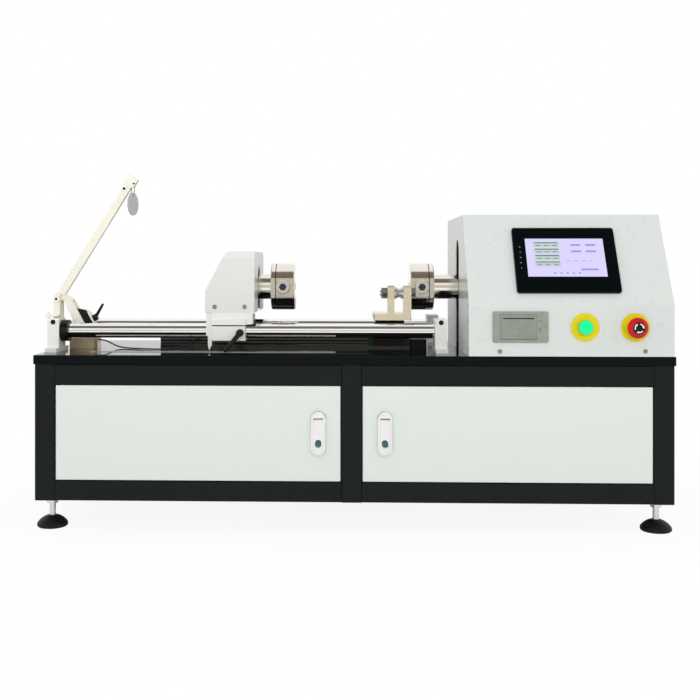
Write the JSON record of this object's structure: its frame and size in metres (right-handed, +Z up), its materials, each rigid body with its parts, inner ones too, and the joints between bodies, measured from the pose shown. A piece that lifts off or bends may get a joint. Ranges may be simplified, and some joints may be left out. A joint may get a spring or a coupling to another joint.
{
  "type": "wire torsion testing machine",
  "caption": "Bench wire torsion tester: driven chuck in a console hood, sliding torque-sensing tailstock on two rods, roller fork, preload lever, two-door cabinet.",
  "frame": {"origin": "middle of the machine's footprint on the floor, under the levelling feet", "axes": "+X along the spindle towards the headstock, +Y from the operator's side to the back, +Z up"},
  "size_m": [1.262, 0.427, 0.7098],
  "materials": {
    "black_enamel": "satin",
    "black_table": "glossy",
    "cream_paint": "satin powder coat",
    "cream_bar": "satin",
    "black_rubber": "matte",
    "bright_steel": "ground",
    "chromed_steel": "polished",
    "nickel_steel": "turned",
    "zinc_steel": "plated",
    "grey_aluminium": "matte anodised",
    "beige_aluminium": "milled",
    "dark_steel": "satin",
    "black_plastic": "fine texture",
    "screen_glass": "clear",
    "printer_grey": "fine texture",
    "yellow_plastic": "satin",
    "green_plastic": "smooth",
    "red_plastic": "smooth",
    "lock_zinc": "satin",
    "lock_button": "polished",
    "hazard_paint": "satin",
    "belt_rubber": "matte",
    "cable_jacket": "satin",
    "unit_casing": "satin"
  },
  "bodies": {
    "cabinet": {"cabinet_frame": "black_enamel", "table_top": "black_table", "cabinet_panels": "cream_paint", "foot_pads": "black_rubber", "foot_studs": "zinc_steel", "headstock_hood": "cream_paint", "touch_panel": "black_plastic", "printer_body": "printer_grey", "button_bezels": "yellow_plastic", "bearing_blocks": "grey_aluminium", "spindle_guard": "hazard_paint", "drive_motor": "dark_steel", "drive_belt": "belt_rubber", "rod_supports": "grey_aluminium", "guide_rods": "chromed_steel", "bed_stops": "dark_steel", "linear_rail": "bright_steel", "steel_rule": "bright_steel", "lever_post": "cream_bar", "load_cell": "nickel_steel", "sensor_cable": "cable_jacket", "power_inlet": "black_plastic", "control_units": "unit_casing"},
    "spindle": {"drive_spindle": "nickel_steel", "drive_chuck": "nickel_steel", "spindle_pulley": "grey_aluminium"},
    "motor_shaft": {"motor_pulley": "grey_aluminium"},
    "drive_jaw_block": {"drive_jaw": "bright_steel"},
    "drive_screw": {"drive_clamp_screw": "zinc_steel"},
    "tailstock": {"tail_carriage": "grey_aluminium", "tail_hood": "cream_paint", "torque_sensor": "bright_steel", "tail_spindle": "nickel_steel", "tail_chuck": "nickel_steel", "scale_pointer": "bright_steel"},
    "tail_jaw_block": {"tail_jaw": "bright_steel"},
    "tail_screw": {"tail_clamp_screw": "zinc_steel"},
    "tail_lever": {"tail_clamp_lever": "black_plastic"},
    "fork": {"rail_carriage": "dark_steel", "fork_bracket": "beige_aluminium", "fork_bolt": "zinc_steel"},
    "roller": {"fork_roller": "bright_steel"},
    "left_door_leaf": {"left_door": "cream_paint", "left_lock": "lock_zinc"},
    "left_door_handle": {"left_handle": "lock_zinc"},
    "left_door_button": {"left_lock_button": "lock_button"},
    "right_door_leaf": {"right_door": "cream_paint", "right_lock": "lock_zinc"},
    "right_door_handle": {"right_handle": "lock_zinc"},
    "right_door_button": {"right_lock_button": "lock_button"},
    "start_button": {"start_cap": "green_plastic"},
    "stop_plunger": {"estop_stem": "red_plastic"},
    "stop_head": {"estop_head": "red_plastic"},
    "paper_cover": {"printer_cover": "printer_grey"},
    "feed_button": {"printer_button": "printer_grey"},
    "mains_rocker": {"power_rocker": "black_plastic"},
    "lever_arm": {"tension_arm": "cream_bar"},
    "lever_link": {"tension_link": "cream_bar"},
    "lever_handle": {"link_clamp_handle": "black_plastic"},
    "hanging_disc": {"weight_disc": "nickel_steel"}
  },
  "joints": [
    {"name": "spindle_turn", "type": "hinge", "parent": "cabinet", "child": "spindle", "pos_m": [0.206, 0.0135, 0.473], "axis": [1, 0, 0], "continuous": true},
    {"name": "motor_turn", "type": "hinge", "parent": "cabinet", "child": "motor_shaft", "pos_m": [0.417, 0.1185, 0.404], "axis": [1, 0, 0], "continuous": true},
    {"name": "drive_jaw_slide", "type": "slide", "parent": "spindle", "child": "drive_jaw_block", "axis": [0, -1, 0], "range_m": [-0.003, 0.003]},
    {"name": "drive_screw_turn", "type": "hinge", "parent": "drive_jaw_block", "child": "drive_screw", "pos_m": [0.1541, -0.0365, 0.473], "axis": [0, -1, 0], "range_deg": [-540.1, 540.1]},
    {"name": "tail_slide", "type": "slide", "parent": "cabinet", "child": "tailstock", "axis": [1, 0, 0], "range_m": [-0.2, 0.17], "deforming": ["sensor_cable"]},
    {"name": "tail_jaw_slide", "type": "slide", "parent": "tailstock", "child": "tail_jaw_block", "axis": [0, -1, 0], "range_m": [-0.003, 0.003]},
    {"name": "tail_screw_turn", "type": "hinge", "parent": "tail_jaw_block", "child": "tail_screw", "pos_m": [-0.1366, -0.0365, 0.473], "axis": [0, -1, 0], "range_deg": [-540.1, 540.1]},
    {"name": "tail_lever_turn", "type": "hinge", "parent": "tailstock", "child": "tail_lever", "pos_m": [-0.2195, -0.1135, 0.3815], "axis": [0, 1, 0], "range_deg": [0, 100]},
    {"name": "fork_slide", "type": "slide", "parent": "cabinet", "child": "fork", "axis": [1, 0, 0], "range_m": [-0.06, 0]},
    {"name": "roller_spin", "type": "hinge", "parent": "fork", "child": "roller", "pos_m": [0.1046, -0.0585, 0.461], "axis": [1, 0, 0], "continuous": true},
    {"name": "start_press", "type": "slide", "parent": "cabinet", "child": "start_button", "axis": [0, 1, 0], "range_m": [0, 0.0035], "stiffness_N_per_m": 400},
    {"name": "estop_press", "type": "slide", "parent": "cabinet", "child": "stop_plunger", "axis": [0, 1, 0], "range_m": [0, 0.004]},
    {"name": "estop_twist", "type": "hinge", "parent": "stop_plunger", "child": "stop_head", "pos_m": [0.5526, -0.2025, 0.3985], "axis": [0, 1, 0], "range_deg": [0, 45], "stiffness_Nm_per_rad": 0.05},
    {"name": "printer_cover_tilt", "type": "hinge", "parent": "cabinet", "child": "paper_cover", "pos_m": [0.3285, -0.189, 0.3765], "axis": [1, 0, 0], "range_deg": [0, 85]},
    {"name": "printer_button_press", "type": "slide", "parent": "cabinet", "child": "feed_button", "axis": [0, 1, 0], "range_m": [0, 0.0015], "stiffness_N_per_m": 200},
    {"name": "power_rocker_tilt", "type": "hinge", "parent": "cabinet", "child": "mains_rocker", "pos_m": [0.566, 0.2047, 0.411], "axis": [1, 0, 0], "range_deg": [-6, 6]},
    {"name": "arm_swing", "type": "hinge", "parent": "cabinet", "child": "lever_arm", "pos_m": [-0.611, -0.0365, 0.448], "axis": [0, -1, 0], "range_deg": [-18, 32]},
    {"name": "link_swing", "type": "hinge", "parent": "lever_arm", "child": "lever_link", "pos_m": [-0.584, -0.0365, 0.436], "axis": [0, -1, 0], "range_deg": [-32.1, 18.1]},
    {"name": "link_handle_turn", "type": "hinge", "parent": "lever_link", "child": "lever_handle", "pos_m": [-0.53718, -0.0365, 0.40653], "axis": [0.8829, 0, 0.4695], "range_deg": [-60, 60]},
    {"name": "disc_swing", "type": "hinge", "parent": "lever_arm", "child": "hanging_disc", "pos_m": [-0.45334, -0.0365, 0.68852], "axis": [0, -1, 0], "range_deg": [-8, 30]},
    {"name": "left_door_swing", "type": "hinge", "parent": "cabinet", "child": "left_door_leaf", "pos_m": [-0.5705, -0.1795, 0.19], "axis": [0, 0, -1], "range_deg": [0, 100]},
    {"name": "left_handle_lift", "type": "hinge", "parent": "left_door_leaf", "child": "left_door_handle", "pos_m": [-0.059, -0.1855, 0.217], "axis": [-1, 0, 0], "range_deg": [0, 35]},
    {"name": "left_button_press", "type": "slide", "parent": "left_door_leaf", "child": "left_door_button", "axis": [0, 1, 0], "range_m": [0, 0.003], "stiffness_N_per_m": 300},
    {"name": "right_door_swing", "type": "hinge", "parent": "cabinet", "child": "right_door_leaf", "pos_m": [0.5825, -0.1795, 0.19], "axis": [0, 0, 1], "range_deg": [0, 100]},
    {"name": "right_handle_lift", "type": "hinge", "parent": "right_door_leaf", "child": "right_door_handle", "pos_m": [0.071, -0.1855, 0.217], "axis": [-1, 0, 0], "range_deg": [0, 35]},
    {"name": "right_button_press", "type": "slide", "parent": "right_door_leaf", "child": "right_door_button", "axis": [0, 1, 0], "range_m": [0, 0.003], "stiffness_N_per_m": 300}
  ],
  "couplings": [
    {"joint": "motor_turn", "follows": "spindle_turn", "ratio": 2},
    {"joint": "drive_screw_turn", "follows": "drive_jaw_slide", "rad_per_m": 3141.6},
    {"joint": "tail_screw_turn", "follows": "tail_jaw_slide", "rad_per_m": 3141.6},
    {"joint": "link_swing", "follows": "arm_swing", "ratio": -1}
  ]
}
